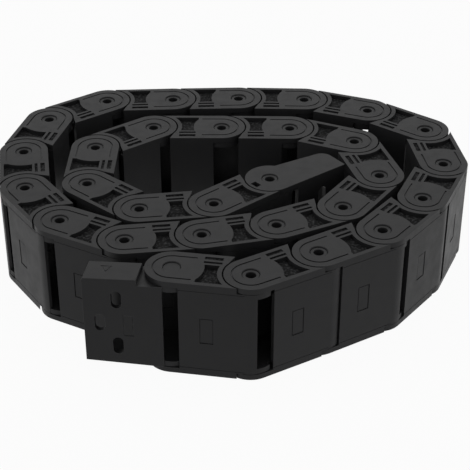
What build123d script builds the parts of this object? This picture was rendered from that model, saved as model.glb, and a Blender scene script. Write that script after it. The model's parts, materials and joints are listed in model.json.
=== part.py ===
from build123d import *
from math import cos, radians, sin, tan
import os

# Cable drag chain, coiled about two turns and lying on its side. All lengths are in millimetres.
# The chain's width runs along Z, so every hinge axis is vertical. The origin is the centre of
# the coil's footprint, on the surface that it lies on.

# Chain
pitch = 32.0
chain_width = 45.0
link_height = 21.8
wall = 2.2
outer_ear = 2.5
inner_ear = 2.5
side_play = 0.2
butt_gap = 0.25
max_bend = 52.0
back_bend = 8.0
overrun = 5.0

# Hinge pins and their holes
pin_radius = 3.6
pin_fit = 0.08
pin_drop = 0.5
bore_radius = 2.1
bore_depth = 3.4

# Round ear ends, the seats that they turn in and the room around the inner ears
seat_gap = 0.68
rim_gap = 0.2
ear_room = 0.05
wall_overhang = 4.2
inner_wall_start = 3.8
crown_length = 23.9
foot_angle = 148.303

# Stop lugs and the notches that they run in
lug_angle = -20.0
lug_span = 10.0
lug_depth = 1.6
lug_clearance = 0.2
stop_gap = 0.5

# Recesses in each side face: a pocket and two slots
recess_depth = 2.0
pocket_land = 2.2
pocket_rim = 1.86
pocket_bottom = 1.84
pocket_top = 3.5
slot_start = 12.1
slot_end = 19.7
slot_low_share = [0.426, 0.661]
slot_high_share = [0.543, 0.837]

# End connectors
front_length = 34.8
front_depth = 12.9
front_rake = 5.0
front_wall_gap = 2.9
pad_gap = 13.0
foot_taper = 2.0
neck_angle = 135.0
rear_length = 34.3
rear_shoulder = 7.2
rear_nose = 14.1
rear_wall_start = 7.5
nose_radius = 5.0
bolt_radius = 2.1
bolt_slot = 8.2
bolt_spacing = 22.8
bolt_stagger = 7.0
middle_slot_inset = 6.5
rear_slot_inset = 6.0
window_length = 4.0
window_width = 2.8
window_place = 8.2
window_turn = 184.0

# How far each hinge is bent in the coil, in degrees, from the outer end to the inner end
bends = [
    -5.2, 39.4, 1.0, 21.1, 14.6, 31.2, 44.8, 16.6, 18.6, 4.0,
    1.0, 32.7, 39.6, 22.9, 26.1, 27.6, 35.5, 5.9, 12.8, 29.9,
    50.1, 50.7, 22.1, 1.0, 36.5, 52.0, 50.6, 48.6, 32.7, -3.0,
]

# Sizes worked out from the ones above
half = link_height / 2
ear_level = outer_ear + side_play
side = ear_level + inner_ear
room_top = side + side_play
seat_radius = half + seat_gap
ear_radius = half - rim_gap
room_radius = half + ear_room
lug_reach = room_radius - lug_depth
wall_start = wall_overhang + butt_gap
rake = tan(radians(front_rake))
mid_plane = Plane.XY.offset(chain_width / 2)


def wedge(low, high):
    """A sketch of the part of a circle's surroundings that lies between two angles."""
    far = 2 * room_radius
    Polygon(
        (0, 0),
        (far * cos(radians(low)), far * sin(radians(low))),
        (far * cos(radians(high)), far * sin(radians(high))),
        align=None,
    )


def cut_ear_room(lower_start):
    """The room in which the next piece's inner ear turns, under an outer ear."""
    with BuildSketch(Plane.XY.offset(outer_ear)) as room:
        Circle(room_radius)
        with Locations((0, -half)):
            Rectangle(lower_start, half, align=(Align.MIN, Align.MIN))
    extrude(room.sketch, amount=room_top - outer_ear, mode=Mode.SUBTRACT)


def add_stop_lug():
    """The lug in the ear room that stops the hinge at its straight end and at its full bend."""
    with BuildSketch(Plane.XY.offset(outer_ear)) as lug:
        wedge(lug_angle - lug_span / 2, lug_angle + lug_span / 2)
        Circle(room_radius + wall, mode=Mode.INTERSECT)
        Circle(lug_reach, mode=Mode.SUBTRACT)
    extrude(lug.sketch, amount=side - outer_ear)


def cut_pin_hole():
    """The hole of an outer ear."""
    with BuildSketch() as hole:
        Circle(pin_radius + pin_fit)
    extrude(hole.sketch, amount=outer_ear, mode=Mode.SUBTRACT)


def finish_inner_ear(at, hollow):
    """The notch for the stop lug in an inner ear, and the ear's pin."""
    with BuildSketch(Plane((at, 0, ear_level))) as notch:
        low = lug_angle - lug_span / 2 - stop_gap - back_bend
        high = lug_angle + lug_span / 2 + stop_gap + max_bend
        wedge(low, high)
        Circle(lug_reach - lug_clearance, mode=Mode.SUBTRACT)
    extrude(notch.sketch, amount=inner_ear, mode=Mode.SUBTRACT)
    with BuildSketch(Plane((at, 0, ear_level))) as pin:
        Circle(pin_radius)
    extrude(pin.sketch, amount=pin_drop - ear_level)
    if hollow:
        with BuildSketch(Plane((at, 0, pin_drop))) as bore:
            Circle(bore_radius)
        extrude(bore.sketch, amount=bore_depth, mode=Mode.SUBTRACT)


def cut_bolt_slots(row, middle, level):
    """The three slotted bolt holes of a connector's base wall: two in a row, one beyond it."""
    face = Plane(origin=(0, -half, level), x_dir=(1, 0, 0), z_dir=(0, -1, 0))
    with BuildSketch(face) as slots:
        with Locations((row, bolt_spacing / 2), (row, -bolt_spacing / 2), (middle, 0)):
            SlotOverall(bolt_slot, 2 * bolt_radius, rotation=90)
    extrude(slots.sketch, amount=-wall, mode=Mode.SUBTRACT)


# Where the slanted edge under the crown meets the seat of the next ear
foot = (pitch + seat_radius * cos(radians(foot_angle)), seat_radius * sin(radians(foot_angle)))

# Link: one moulding with two side plates, two cross walls, two outer ears and two inner ears
with BuildPart() as link:
    with BuildSketch():
        Circle(half)
        Polygon((0, -half), (pitch, -half), (pitch, 0), foot, (crown_length, half), (0, half), align=None)
        with Locations((pitch, 0)):
            Circle(seat_radius, mode=Mode.SUBTRACT)
    extrude(amount=side)
    # Tongue with the inner ear
    with BuildSketch(Plane.XY.offset(ear_level)):
        Polygon((half, -half), (pitch, -half), (pitch, 0), foot, (crown_length, half), (half, half), align=None)
        with Locations((pitch, 0)):
            Circle(ear_radius)
    extrude(amount=inner_ear)
    # Outer cross wall, which runs on past the inner ear, and inner cross wall
    with BuildSketch(Plane.XY.offset(ear_level)):
        with Locations((wall_start, -half)):
            Rectangle(pitch - butt_gap, wall, align=(Align.MIN, Align.MIN))
        with Locations((inner_wall_start, half)):
            Rectangle(crown_length - inner_wall_start, wall, align=(Align.MIN, Align.MAX))
    extrude(amount=chain_width / 2 - ear_level)
    cut_ear_room(wall_start)
    with BuildSketch(Plane.XY.offset(outer_ear)):
        Rectangle(inner_wall_start, half + overrun, align=(Align.MIN, Align.MIN))
    extrude(amount=room_top - outer_ear, mode=Mode.SUBTRACT)
    add_stop_lug()
    cut_pin_hole()
    finish_inner_ear(pitch, True)
    # Pocket between the two ears, and the two slots beside it
    with BuildSketch():
        with Locations((half, pocket_top)):
            Rectangle(pitch - half, half + pocket_top - pocket_bottom, align=(Align.MIN, Align.MAX))
        Circle(room_radius + pocket_land, mode=Mode.SUBTRACT)
        with Locations((pitch, 0)):
            Circle(seat_radius + pocket_rim, mode=Mode.SUBTRACT)
    extrude(amount=recess_depth, mode=Mode.SUBTRACT)
    with BuildSketch():
        for low, high in zip(slot_low_share, slot_high_share):
            with Locations((slot_start, low * half)):
                Rectangle(slot_end - slot_start, (high - low) * half, align=(Align.MIN, Align.MIN))
    extrude(amount=recess_depth, mode=Mode.SUBTRACT)
    mirror(about=mid_plane)
link.part.label = "link"

# Front end connector: base wall with three slotted holes, two arms with inner ears and solid pins
front_top = front_depth - half
neck = (ear_radius * cos(radians(neck_angle)), ear_radius * sin(radians(neck_angle)))
with BuildPart() as front_end_connector:
    with BuildSketch(Plane.XY.offset(ear_level)):
        Polygon(
            (0, -half),
            (-front_length, -half),
            (-front_length + front_depth * rake, front_top),
            (-pad_gap, front_top),
            neck,
            (0, 0),
            align=None,
        )
        with Locations((-front_wall_gap, -half)):
            Rectangle(half, half, align=(Align.MIN, Align.MIN), mode=Mode.SUBTRACT)
        Circle(ear_radius)
    extrude(amount=inner_ear)
    finish_inner_ear(0, False)
    mirror(about=mid_plane)
    # Base wall
    with BuildSketch(Plane.XY.offset(ear_level)):
        with Locations((-front_wall_gap, -half)):
            Rectangle(front_length - front_wall_gap, wall, align=(Align.MAX, Align.MIN))
    extrude(amount=chain_width - 2 * ear_level)
    # Raised pad on the upper arm
    with BuildSketch(Plane.XY.offset(chain_width - ear_level)):
        Polygon(
            (-front_length, -half),
            (-pad_gap, -half),
            (-pad_gap + front_depth * rake, front_top),
            (-front_length + front_depth * rake, front_top),
            align=None,
        )
    extrude(amount=ear_level)
    # Tapered foot under the lower arm
    with BuildSketch(Plane.XY.offset(side)):
        Polygon(
            (-front_length, -half),
            (-pad_gap, -half),
            (-pad_gap, front_top),
            (-front_length + front_depth * rake, front_top),
            align=None,
        )
    extrude(amount=foot_taper)
    with BuildSketch(Plane.XZ.offset(-2 * half)):
        Polygon(
            (-front_length - overrun, ear_level - overrun),
            (-front_length - overrun, ear_level + foot_taper),
            (-front_length, ear_level + foot_taper),
            (-pad_gap / 2, ear_level),
            (-pad_gap / 2, ear_level - overrun),
            align=None,
        )
    extrude(amount=4 * half, mode=Mode.SUBTRACT)
    front_middle = middle_slot_inset - front_length
    cut_bolt_slots(front_middle + bolt_stagger, front_middle, (chain_width + ear_level) / 2)
front_end_connector.part.label = "front_end_connector"

# Inner end connector: base wall with three slotted holes, two tapered arms with outer ears
with BuildPart() as inner_end_connector:
    with BuildSketch() as arm:
        Polygon(
            (0, -half),
            (rear_length, -half),
            (rear_length, rear_nose - half),
            (rear_shoulder, rear_shoulder),
            (0, 0),
            align=None,
        )
        fillet(arm.vertices().group_by(Axis.X)[-1].sort_by(Axis.Y)[-1], nose_radius)
        Circle(half)
    extrude(amount=side)
    with BuildSketch(Plane.XY.offset(side)):
        with Locations((rear_wall_start, -half)):
            Rectangle(rear_length - rear_wall_start, wall, align=(Align.MIN, Align.MIN))
    extrude(amount=chain_width / 2 - side)
    cut_ear_room(rear_wall_start)
    add_stop_lug()
    cut_pin_hole()
    # Window beside the rim of each outer ear
    with BuildSketch():
        with PolarLocations(window_place, 1, start_angle=window_turn):
            Rectangle(window_width, window_length)
    extrude(amount=outer_ear, mode=Mode.SUBTRACT)
    mirror(about=mid_plane)
    rear_middle = rear_length - rear_slot_inset
    cut_bolt_slots(rear_middle - bolt_stagger, rear_middle, chain_width / 2)
inner_end_connector.part.label = "inner_end_connector"

# The coil: each piece is turned from the piece before it by the bend of the hinge between them
pieces = [front_end_connector.part]
x, y, heading = 0, 0, 0
for number, bend in enumerate(bends, start=1):
    heading += bend
    if number < len(bends):
        piece = link.part.moved(Location((x, y, 0), (0, 0, heading)))
        piece.label = f"link_{number:02d}"
        x += pitch * cos(radians(heading))
        y += pitch * sin(radians(heading))
    else:
        piece = inner_end_connector.part.moved(Location((x, y, 0), (0, 0, heading)))
        piece.label = "inner_end_connector"
    pieces.append(piece)

# The middle of the coil's footprint is brought to the origin
boxes = [piece.bounding_box() for piece in pieces]
middle_x = (min(box.min.X for box in boxes) + max(box.max.X for box in boxes)) / 2
middle_y = (min(box.min.Y for box in boxes) + max(box.max.Y for box in boxes)) / 2

os.makedirs("parts", exist_ok=True)
for piece in pieces:
    placed = piece.moved(Location((-middle_x, -middle_y, 0)))
    placed.label = piece.label
    export_step(placed, f"parts/{piece.label}.step")
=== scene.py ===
import json
from math import atan2, radians

import bmesh
import bpy
from mathutils import Matrix, Vector


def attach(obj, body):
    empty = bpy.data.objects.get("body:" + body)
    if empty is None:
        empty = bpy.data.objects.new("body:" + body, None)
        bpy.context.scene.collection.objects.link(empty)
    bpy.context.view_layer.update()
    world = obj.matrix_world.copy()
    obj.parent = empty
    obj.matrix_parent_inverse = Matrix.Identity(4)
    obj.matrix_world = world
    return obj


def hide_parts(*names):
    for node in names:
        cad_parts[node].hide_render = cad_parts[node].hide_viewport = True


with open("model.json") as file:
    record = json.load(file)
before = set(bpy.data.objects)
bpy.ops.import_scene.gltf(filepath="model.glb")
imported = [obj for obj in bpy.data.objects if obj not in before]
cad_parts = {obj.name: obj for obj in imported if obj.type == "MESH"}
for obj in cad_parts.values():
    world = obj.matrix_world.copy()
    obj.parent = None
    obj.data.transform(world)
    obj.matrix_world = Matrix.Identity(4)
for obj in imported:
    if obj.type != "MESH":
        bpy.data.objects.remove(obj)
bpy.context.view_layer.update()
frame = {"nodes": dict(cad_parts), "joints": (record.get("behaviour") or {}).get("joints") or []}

# The photograph's view: the chain lies on its side on a white ground and is seen from about 56 cm
# away, a third of a right angle above it. The camera's place is given from the first hinge, at
# the outer end.
mm = 0.001
hinges = [Vector(joint["pos_m"]) for joint in sorted(frame["joints"], key=lambda joint: joint["name"])]
camera_from_hinge = Vector((57.3, -445.6)) * mm
camera_height = 353.1 * mm
camera_tilt = radians(33.16)
camera_turn = radians(4.1)
camera_lens = 104.5
camera_sensor = 36.0


def in_scene(name, data):
    """A new object with that data, in the scene."""
    thing = bpy.data.objects.new(name, data)
    bpy.context.scene.collection.objects.link(thing)
    return thing


camera_data = bpy.data.cameras.new("photo_camera")
camera_data.lens = camera_lens
camera_data.sensor_width = camera_sensor
camera = in_scene("photo_camera", camera_data)
camera.location = (hinges[0].x + camera_from_hinge.x, hinges[0].y + camera_from_hinge.y, camera_height)
camera.rotation_euler = (radians(90) - camera_tilt, 0, camera_turn)
bpy.context.scene.camera = camera

# White ground and studio light: a wide white board that fades into a white room. One large soft
# box hangs above and behind the chain, a weaker one stands at its left, and the room gives the
# rest. Rays from the camera, and those in gloss or glass, see the board and the room white.
bpy.context.scene.view_settings.view_transform = "Standard"
ground_half_size = 3.0
ground_colour = (0.5, 0.5, 0.5, 1)
ground_roughness = 0.9
ground_seen_white = 0.95
room_fill = 0.60
white = (1, 1, 1, 1)


def mesh_of(name, shape):
    """The shape as a new mesh."""
    mesh = bpy.data.meshes.new(name)
    shape.to_mesh(mesh)
    return mesh


def combined(tree, operation, first, second):
    """A math node's result. Each side is a plain number or another node's output."""
    node = tree.nodes.new("ShaderNodeMath")
    node.operation = operation
    for socket, value in zip(node.inputs, (first, second)):
        if isinstance(value, float):
            socket.default_value = value
        else:
            tree.links.new(value, socket)
    return node.outputs[0]


def sees_white(tree):
    """1 for the rays that should meet plain white, 0 for those that light the chain."""
    ray = tree.nodes.new("ShaderNodeLightPath")
    direct = combined(tree, "MAXIMUM", ray.outputs["Is Camera Ray"], ray.outputs["Is Glossy Ray"])
    return combined(tree, "MAXIMUM", direct, ray.outputs["Is Transmission Ray"])


board = bmesh.new()
bmesh.ops.create_grid(board, x_segments=1, y_segments=1, size=ground_half_size)
ground = in_scene("ground", mesh_of("ground", board))
board.free()

ground_paper = bpy.data.materials.new("white_paper")
ground_paper.use_nodes = True
tree = ground_paper.node_tree
paper = tree.nodes["Principled BSDF"]
paper.inputs["Base Color"].default_value = ground_colour
paper.inputs["Roughness"].default_value = ground_roughness
paper.inputs["Specular IOR Level"].default_value = 0.0
glow = tree.nodes.new("ShaderNodeEmission")
glow.inputs["Color"].default_value = white
glow.inputs["Strength"].default_value = 1.0
seen = tree.nodes.new("ShaderNodeMixShader")
tree.links.new(combined(tree, "MULTIPLY", sees_white(tree), ground_seen_white), seen.inputs["Fac"])
tree.links.new(paper.outputs["BSDF"], seen.inputs[1])
tree.links.new(glow.outputs["Emission"], seen.inputs[2])
tree.links.new(seen.outputs["Shader"], tree.nodes["Material Output"].inputs["Surface"])
ground.data.materials.append(ground_paper)

room = bpy.data.worlds.new("white_room")
bpy.context.scene.world = room
room.use_nodes = True
tree = room.node_tree
strength = tree.nodes.new("ShaderNodeMapRange")
strength.inputs["To Min"].default_value = room_fill
strength.inputs["To Max"].default_value = 1.0
tree.links.new(sees_white(tree), strength.inputs["Value"])
tree.nodes["Background"].inputs["Color"].default_value = white
tree.links.new(strength.outputs["Result"], tree.nodes["Background"].inputs["Strength"])


def soft_box(name, place, size, power):
    """A square soft box that faces the middle of the coil."""
    light = bpy.data.lights.new(name, "AREA")
    light.shape = "SQUARE"
    light.size = size
    light.energy = power
    lamp = in_scene(name, light)
    lamp.location = place
    lamp.rotation_euler = (-Vector(place)).to_track_quat("-Z", "Y").to_euler()


soft_box("overhead_box", place=(0.1, 0.45, 1.3), size=1.2, power=5)
soft_box("left_box", place=(-1.2, -0.3, 0.7), size=0.7, power=1)

# Black nylon: every moulding is black glass-filled nylon from a spark-eroded mould, with a fine
# grain, faint cloudy gloss from the flow of the melt, and a painted highlight on its rounded edges.
# The side faces are the glossiest; the walls are duller, with a paler base colour that paints their
# lit tone; and the floors of the recesses are rough, with a darker base colour that paints the
# shade in the recesses and pale specks that paint glints on the pits.
side_colour = (0.0120, 0.0120, 0.0125, 1)
# Painted lit tone: the upright walls get a paler base colour than the side faces of the same nylon.
lit_wall_colour = (0.0160, 0.0160, 0.0167, 1)
# Painted shade: the recess floors get a darker base colour than the side faces of the same nylon.
shaded_floor_colour = (0.0050, 0.0050, 0.0052, 1)
# Painted highlight: this pale colour is laid on the rounded edges and the floor specks in place of light
# caught on them.
painted_highlight_colour = (0.08, 0.08, 0.082, 1)
grain_size = 0.45 * mm
grain_relief = 0.05 * mm
grain_detail = 3.0
grain_roughness = 0.6
highlight_patch_size = 2.5 * mm
highlight_patch_detail = 4.0
highlight_patch_range = (0.35, 0.7)
cloud_size = 5.0 * mm
cloud_detail = 5.0
cloud_range = (0.3, 0.7)
# Painted glints: pale specks on the recess floors stand in for light caught on the peaks of the pits.
glint_size = 1.1 * mm
glint_detail = 1.0
glint_range = (0.48, 0.7)


def node_group(name, inputs, output, output_type):
    """An empty node group with number inputs and one output, and its two end nodes."""
    group = bpy.data.node_groups.new(name, "ShaderNodeTree")
    for socket in inputs:
        group.interface.new_socket(socket, in_out="INPUT", socket_type="NodeSocketFloat")
    group.interface.new_socket(output, in_out="OUTPUT", socket_type=output_type)
    return group, group.nodes.new("NodeGroupInput"), group.nodes.new("NodeGroupOutput")


def noise(tree, detail):
    """A noise over the piece's own coordinates."""
    where = tree.nodes.new("ShaderNodeTexCoord")
    pattern = tree.nodes.new("ShaderNodeTexNoise")
    pattern.inputs["Detail"].default_value = detail
    tree.links.new(where.outputs["Object"], pattern.inputs["Vector"])
    return pattern


def patches(tree, size, detail, value_range):
    """A noise of that size, stretched so that the range of its values runs from 0 to 1."""
    pattern = noise(tree, detail)
    pattern.inputs["Scale"].default_value = 1 / size
    stretched = tree.nodes.new("ShaderNodeMapRange")
    stretched.inputs["From Min"].default_value = value_range[0]
    stretched.inputs["From Max"].default_value = value_range[1]
    tree.links.new(pattern.outputs["Fac"], stretched.inputs["Value"])
    return stretched


grain_group, entry, leave = node_group("mould_grain", ["Size", "Strength"], "Normal", "NodeSocketVector")
pits = noise(grain_group, grain_detail)
pits.inputs["Roughness"].default_value = grain_roughness
density = combined(grain_group, "DIVIDE", 1.0, entry.outputs["Size"])
grain_group.links.new(density, pits.inputs["Scale"])
relief = grain_group.nodes.new("ShaderNodeBump")
relief.inputs["Distance"].default_value = grain_relief
grain_group.links.new(entry.outputs["Strength"], relief.inputs["Strength"])
grain_group.links.new(pits.outputs["Fac"], relief.inputs["Height"])
grain_group.links.new(relief.outputs["Normal"], leave.inputs["Normal"])

# Painted edge highlight: a mask, in patches, on the rounded edges, where the pale colour stands in for
# light catching them.
edge_highlight_group, entry, leave = node_group("painted_edge_highlights", ["Amount"], "Mask", "NodeSocketFloat")
edge = edge_highlight_group.nodes.new("ShaderNodeAttribute")
edge.attribute_name = "edge"
highlight_patches = patches(edge_highlight_group, highlight_patch_size, highlight_patch_detail, highlight_patch_range)
highlight_on_edge = combined(edge_highlight_group, "MULTIPLY", edge.outputs["Fac"], highlight_patches.outputs["Result"])
highlight_mask = combined(edge_highlight_group, "MULTIPLY", highlight_on_edge, entry.outputs["Amount"])
edge_highlight_group.links.new(highlight_mask, leave.inputs["Mask"])

cloud_group, entry, leave = node_group("flow_clouds", ["Low", "High"], "Value", "NodeSocketFloat")
clouds = patches(cloud_group, cloud_size, cloud_detail, cloud_range)
cloud_group.links.new(entry.outputs["Low"], clouds.inputs["To Min"])
cloud_group.links.new(entry.outputs["High"], clouds.inputs["To Max"])
cloud_group.links.new(clouds.outputs["Result"], leave.inputs["Value"])

# Painted glints: a patchy mask that lays the pale highlight colour on the recess floors.
glint_group, entry, leave = node_group("painted_glints", ["Amount"], "Mask", "NodeSocketFloat")
peaks = patches(glint_group, glint_size, glint_detail, glint_range)
paler = combined(glint_group, "MULTIPLY", peaks.outputs["Result"], entry.outputs["Amount"])
glint_group.links.new(paler, leave.inputs["Mask"])


def laid_in(tree, group, **values):
    """The group placed in a material with its own values, as its output."""
    node = tree.nodes.new("ShaderNodeGroup")
    node.node_tree = group
    for socket, value in values.items():
        node.inputs[socket].default_value = value
    return node.outputs[0]


def nylon(name, colour, grain, shine, roughness, edge_highlight, glints):
    """Black nylon with its grain, clouds, painted edge highlights and painted glints."""
    material = bpy.data.materials.new(name)
    material.use_nodes = True
    tree = material.node_tree
    shader = tree.nodes["Principled BSDF"]
    shader.inputs["Specular IOR Level"].default_value = shine
    normal = laid_in(tree, grain_group, Size=grain_size, Strength=grain)
    tree.links.new(normal, shader.inputs["Normal"])
    cloudy = laid_in(tree, cloud_group, Low=roughness[0], High=roughness[1])
    tree.links.new(cloudy, shader.inputs["Roughness"])
    highlighted_edges = laid_in(tree, edge_highlight_group, Amount=edge_highlight)
    glinting = laid_in(tree, glint_group, Amount=glints)
    # Painted light: the base colour is mixed toward the pale highlight colour on the rounded edges and on
    # the glint specks.
    tint = tree.nodes.new("ShaderNodeMix")
    tint.data_type = "RGBA"
    tint.inputs["A"].default_value = colour
    tint.inputs["B"].default_value = painted_highlight_colour
    tree.links.new(combined(tree, "MAXIMUM", highlighted_edges, glinting), tint.inputs["Factor"])
    tree.links.new(tint.outputs["Result"], shader.inputs["Base Color"])
    return material


black_nylon = nylon(
    "black_nylon", side_colour, grain=0.5, shine=0.155, roughness=(0.28, 0.48), edge_highlight=0.9, glints=0.0
)
# Rough finish on the recess floors, with a darker base colour as painted shade in the recesses.
rough_shaded_nylon = nylon(
    "rough_shaded_black_nylon", shaded_floor_colour, grain=1.0, shine=0.08, roughness=(0.6, 0.9), edge_highlight=0.0, glints=0.42
)
# Duller finish on the upright walls, with a paler base colour that paints their lit tone.
matt_lit_nylon = nylon(
    "matt_lit_black_nylon", lit_wall_colour, grain=0.6, shine=0.165, roughness=(0.41, 0.5), edge_highlight=0.9, glints=0.0
)
finishes = [black_nylon, rough_shaded_nylon, matt_lit_nylon]
floor_finish = finishes.index(rough_shaded_nylon)
wall_finish = finishes.index(matt_lit_nylon)

# Links: each is one moulding, two side plates joined by an outer and an inner cross wall, with
# outer ears at one end and inner ears with hollow pins at the other. A fine groove runs around
# each hole, and each outer wall has a small plain panel with a fine line around it.
chain_width = 45.0 * mm
half_height = 10.9 * mm
link_pitch = 32.0 * mm
groove_radius = 7.7 * mm
groove_leg = 9.2 * mm
groove_width = 0.7 * mm
groove_depth = 0.4 * mm
groove_steps = 32
wall_end_turn = radians(27)
wall_end_steps = 8
wall_end_reach = 2.0 * mm
overrun = 1.0 * mm
panel_size = (5.2 * mm, 12.0 * mm)
panel_middle = 15.8 * mm
panel_depth = 0.15 * mm
panel_line = 0.4 * mm
panel_line_depth = 0.35 * mm
rim_line_middle = 17.8 * mm
rim_line_inset = 3.4 * mm
rim_line_size = (27.0 * mm, 0.25 * mm)
rim_line_depth = 0.15 * mm
recess_depth = 2.0 * mm
slot_depth = 0.7 * mm
slot_area = 20.0 * mm**2
pin_level = 0.5 * mm
pin_radius = 3.6 * mm
pin_chamfer = 0.2 * mm
bore_radius = 2.1 * mm
bore_chamfer = 0.2 * mm
hole_radius = 3.68 * mm
hole_chamfer = 0.3 * mm
edge_radius = 0.26 * mm
flat_within = 0.01 * mm
join_within = 0.003 * mm
flat_angle = radians(0.5)
sharp_angle = radians(28)
crease_angle = radians(40)
upright_slope = 0.5


def heading(start, end):
    """The direction from one hinge to the next."""
    return atan2(end.y - start.y, end.x - start.x)


def placed(hinge, direction):
    """Where a piece lies whose own hinge is at its origin and whose length runs along X."""
    return Matrix.Translation((hinge.x, hinge.y, 0)) @ Matrix.Rotation(direction, 4, "Z")


def whole_faces(node, place):
    """A CAD piece, laid straight at the origin, with its triangles merged into whole faces."""
    shape = bmesh.new()
    shape.from_mesh(frame["nodes"][node].data)
    bmesh.ops.transform(shape, matrix=place.inverted(), verts=shape.verts)
    bmesh.ops.remove_doubles(shape, verts=shape.verts, dist=join_within)
    bmesh.ops.dissolve_limit(shape, angle_limit=flat_angle, verts=shape.verts, edges=shape.edges)
    return shape


def bevelled(shape, edges, width, segments):
    """Bevels the edges and gives the new faces."""
    return bmesh.ops.bevel(
        shape, geom=edges, offset=width, offset_type="OFFSET", segments=segments, profile=0.5,
        affect="EDGES", clamp_overlap=True, material=-1,
    )["faces"]


def round_edges(shape, middle, radius, level, width):
    """Chamfers the round edges of that radius about a hinge, on both sides of the chain."""
    chosen = []
    for edge in shape.edges:
        ends = [v.co for v in edge.verts]
        on_level = all(abs(min(co.z, chain_width - co.z) - level) < flat_within for co in ends)
        on_circle = all(abs((co.xy - middle.xy).length - radius) < 2 * flat_within for co in ends)
        if on_level and on_circle:
            chosen.append(edge)
    bevelled(shape, chosen, width, segments=1)


def raise_slot_floors(shape):
    """Makes the two narrow slots beside the pocket shallower than the pocket."""
    for face in shape.faces:
        level = face.calc_center_median().z
        depth = min(level, chain_width - level)
        if abs(depth - recess_depth) < flat_within and face.calc_area() < slot_area:
            for corner in face.verts:
                corner.co.z = slot_depth if level < chain_width / 2 else chain_width - slot_depth


def pulled(shape, faces, vec):
    """Extrudes the faces, moves the new end by vec, and gives the new end's faces."""
    new = bmesh.ops.extrude_face_region(shape, geom=faces)["geom"]
    bmesh.ops.translate(shape, vec=vec, verts=[v for v in new if isinstance(v, bmesh.types.BMVert)])
    return [f for f in new if isinstance(f, bmesh.types.BMFace)]


def ear_groove(level):
    """The cutter of the groove around a hole, on the side face at that level."""
    cutter = bmesh.new()
    low, high = level - groove_depth, level + groove_depth
    near, far = groove_radius - groove_width / 2, groove_radius + groove_width / 2
    corners = [(near, low), (far, low), (far, high), (near, high)]
    section = cutter.faces.new([cutter.verts.new((groove_leg, y, z)) for y, z in corners])
    end = pulled(cutter, [section], (-groove_leg, 0, 0))
    turned = bmesh.ops.spin(
        cutter, geom=end, cent=(0, 0, 0), axis=(0, 0, 1), angle=radians(180), steps=groove_steps,
        use_merge=False,
    )["geom_last"]
    bmesh.ops.delete(cutter, geom=end, context="FACES_ONLY")
    end = [f for f in turned if isinstance(f, bmesh.types.BMFace)]
    pulled(cutter, end, (groove_leg, 0, 0))
    bmesh.ops.delete(cutter, geom=end, context="FACES_ONLY")
    bmesh.ops.recalc_face_normals(cutter, faces=cutter.faces)
    return cutter


def wall_end():
    """The cutter that rounds the outer wall's overhang about the next hinge."""
    cutter = bmesh.new()
    near, far = -half_height, -half_height - wall_end_reach
    low, high = -overrun, chain_width + overrun
    corners = [(near, low), (far, low), (far, high), (near, high)]
    section = cutter.faces.new([cutter.verts.new((link_pitch, y, z)) for y, z in corners])
    bmesh.ops.spin(
        cutter, geom=[section], cent=(link_pitch, 0, 0), axis=(0, 0, 1), angle=wall_end_turn,
        steps=wall_end_steps, use_merge=False,
    )
    bmesh.ops.recalc_face_normals(cutter, faces=cutter.faces)
    return cutter


def sunk_box(middle_x, middle_z, size, depth):
    """The cutter of a flat rectangular recess in the outer face of a base wall."""
    cutter = bmesh.new()
    bmesh.ops.create_cube(cutter, size=1.0)
    bmesh.ops.scale(cutter, vec=(size[0], 2 * depth, size[1]), verts=cutter.verts)
    bmesh.ops.translate(cutter, vec=(middle_x, -half_height, middle_z), verts=cutter.verts)
    return cutter


def outline(cutter, width, vec):
    """Keeps a band inside the edge of a flat cutter, and gives it thickness along vec."""
    inner = list(cutter.faces)
    bmesh.ops.inset_region(cutter, faces=inner, thickness=width, use_boundary=True, use_even_offset=True)
    bmesh.ops.delete(cutter, geom=inner, context="FACES")
    pulled(cutter, list(cutter.faces), vec)


def panel_frame(middle_x, middle_z, size):
    """The cutter of the fine line around a sunk panel."""
    cutter = bmesh.new()
    bmesh.ops.create_grid(cutter, x_segments=1, y_segments=1, size=0.5)
    bmesh.ops.scale(cutter, vec=(size[0] + panel_line, size[1] + panel_line, 1), verts=cutter.verts)
    bmesh.ops.rotate(cutter, matrix=Matrix.Rotation(radians(90), 3, "X"), verts=cutter.verts)
    outline(cutter, panel_line, (0, 2 * panel_line_depth, 0))
    bmesh.ops.translate(
        cutter, vec=(middle_x, -half_height - panel_line_depth, middle_z), verts=cutter.verts
    )
    bmesh.ops.recalc_face_normals(cutter, faces=cutter.faces)
    return cutter


def carved(shape, cutters):
    """The shape with each cutter taken out of it."""
    body = in_scene("blank", mesh_of("blank", shape))
    shape.free()
    tools = []
    for cutter in cutters:
        tool = in_scene("tool", mesh_of("tool", cutter))
        cutter.free()
        cut = body.modifiers.new("cut", "BOOLEAN")
        cut.operation = "DIFFERENCE"
        cut.solver = "EXACT"
        cut.object = tool
        tools.append(tool)
    bpy.context.view_layer.update()
    result = bmesh.new()
    result.from_object(body, bpy.context.evaluated_depsgraph_get())
    for spare in [body, *tools]:
        bpy.data.objects.remove(spare)
    return result


def soften(shape):
    """Rounds every sharp edge, and marks the rounded faces in the edge attribute, which places the
    painted edge highlight.
    """
    sharp = [e for e in shape.edges if len(e.link_faces) == 2 and e.calc_face_angle() > sharp_angle]
    rounded = bevelled(shape, sharp, edge_radius, segments=2)
    mark = shape.loops.layers.float.new("edge")
    for face in rounded:
        for loop in face.loops:
            loop[mark] = 1.0
    bmesh.ops.dissolve_degenerate(shape, dist=join_within, edges=shape.edges)


def choose_finish(shape):
    """Gives the floors of the side recesses the rough finish with its painted shade, and the walls the
    dull one with its paler painted lit tone.
    """
    for face in shape.faces:
        level = face.calc_center_median().z
        depth = min(level, chain_width - level)
        if min(abs(depth - recess_depth), abs(depth - slot_depth)) < flat_within:
            face.material_index = floor_finish
        elif abs(face.normal.z) < upright_slope:
            face.material_index = wall_finish


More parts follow.
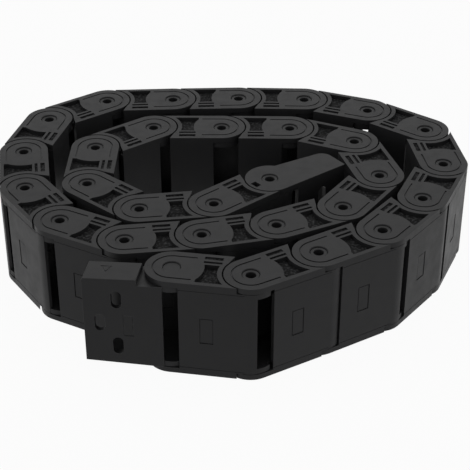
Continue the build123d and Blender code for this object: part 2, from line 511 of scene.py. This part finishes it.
def moulding(name, shape, place):
    """A finished piece of the chain, put in its place."""
    mesh = mesh_of(name, shape)
    mesh.transform(place)
    for polygon in mesh.polygons:
        polygon.use_smooth = True
    mesh.set_sharp_from_angle(angle=crease_angle)
    for finish in finishes:
        mesh.materials.append(finish)
    piece = in_scene(name, mesh)
    even = piece.modifiers.new("even_shading", "WEIGHTED_NORMAL")
    even.keep_sharp = True
    return piece


own_hinge, next_hinge = Vector((0, 0, 0)), Vector((link_pitch, 0, 0))
link_shape = whole_faces("link_01", placed(hinges[0], heading(hinges[0], hinges[1])))
raise_slot_floors(link_shape)
round_edges(link_shape, own_hinge, hole_radius, 0, hole_chamfer)
round_edges(link_shape, next_hinge, pin_radius, pin_level, pin_chamfer)
round_edges(link_shape, next_hinge, bore_radius, pin_level, bore_chamfer)
link_shape = carved(link_shape, [
    ear_groove(0),
    ear_groove(chain_width),
    wall_end(),
    panel_frame(panel_middle, chain_width / 2, panel_size),
    sunk_box(panel_middle, chain_width / 2, panel_size, panel_depth),
    sunk_box(rim_line_middle, rim_line_inset, rim_line_size, rim_line_depth),
    sunk_box(rim_line_middle, chain_width - rim_line_inset, rim_line_size, rim_line_depth),
])
soften(link_shape)
choose_finish(link_shape)

for number in range(1, len(hinges)):
    node = f"link_{number:02d}"
    place = placed(hinges[number - 1], heading(hinges[number - 1], hinges[number]))
    link = moulding(f"moulded_{node}", link_shape, place)
    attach(link, node)
    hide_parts(node)
link_shape.free()

# Front end connector: the bolt-on end piece at the outer end, a base wall with three slotted holes
# and two arms with inner ears and solid pins. The pad on its upper arm has a plain moulded
# triangle, and the base wall a small plain panel.
front_panel_size = (3.8 * mm, 9.9 * mm)
front_panel_place = (-16.9 * mm, 22.6 * mm)
triangle_middle = (-26.0 * mm, -2.7 * mm)
triangle_radius = 2.8 * mm
triangle_stretch = 1.15
triangle_line = 0.5 * mm
triangle_depth = 0.3 * mm
pad_rounding = 0.6 * mm
pad_rounding_steps = 3


def triangle_groove():
    """The cutter of the triangle's outline in the top of the pad, with one corner to the front."""
    cutter = bmesh.new()
    bmesh.ops.create_circle(cutter, cap_ends=True, radius=triangle_radius, segments=3)
    lowest = min(cutter.verts, key=lambda v: v.co.y).co
    to_front = radians(-90) - atan2(lowest.y, lowest.x)
    bmesh.ops.rotate(cutter, matrix=Matrix.Rotation(to_front, 3, "Z"), verts=cutter.verts)
    bmesh.ops.scale(cutter, vec=(1, triangle_stretch, 1), verts=cutter.verts)
    outline(cutter, triangle_line, (0, 0, 2 * triangle_depth))
    bmesh.ops.translate(
        cutter, vec=(*triangle_middle, chain_width - triangle_depth), verts=cutter.verts
    )
    bmesh.ops.recalc_face_normals(cutter, faces=cutter.faces)
    return cutter


def round_pad(shape):
    """Rounds the edges of the pad's top face."""
    tops = [f for f in shape.faces if f.calc_center_median().z > chain_width - flat_within]
    edges = {edge for face in tops for edge in face.edges if edge.calc_face_angle(0) > sharp_angle}
    bevelled(shape, list(edges), pad_rounding, segments=pad_rounding_steps)


front_place = placed(hinges[0], 0)
front_shape = whole_faces("front_end_connector", front_place)
round_pad(front_shape)
round_edges(front_shape, own_hinge, pin_radius, pin_level, pin_chamfer)
front_shape = carved(front_shape, [
    panel_frame(*front_panel_place, front_panel_size),
    sunk_box(*front_panel_place, front_panel_size, panel_depth),
    triangle_groove(),
])
soften(front_shape)
choose_finish(front_shape)
front = moulding("moulded_front_end_connector", front_shape, front_place)
front_shape.free()
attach(front, "front_end_connector")
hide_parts("front_end_connector")

# Inner end connector: the bolt-on end piece at the inner end, a base wall with three slotted holes
# and two tapered arms whose outer ears take the last link's pins.
inner_shape = whole_faces("inner_end_connector", Matrix())
round_edges(inner_shape, hinges[-1], hole_radius, 0, hole_chamfer)
soften(inner_shape)
choose_finish(inner_shape)
inner = moulding("moulded_inner_end_connector", inner_shape, Matrix())
inner_shape.free()
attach(inner, "inner_end_connector")
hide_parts("inner_end_connector")
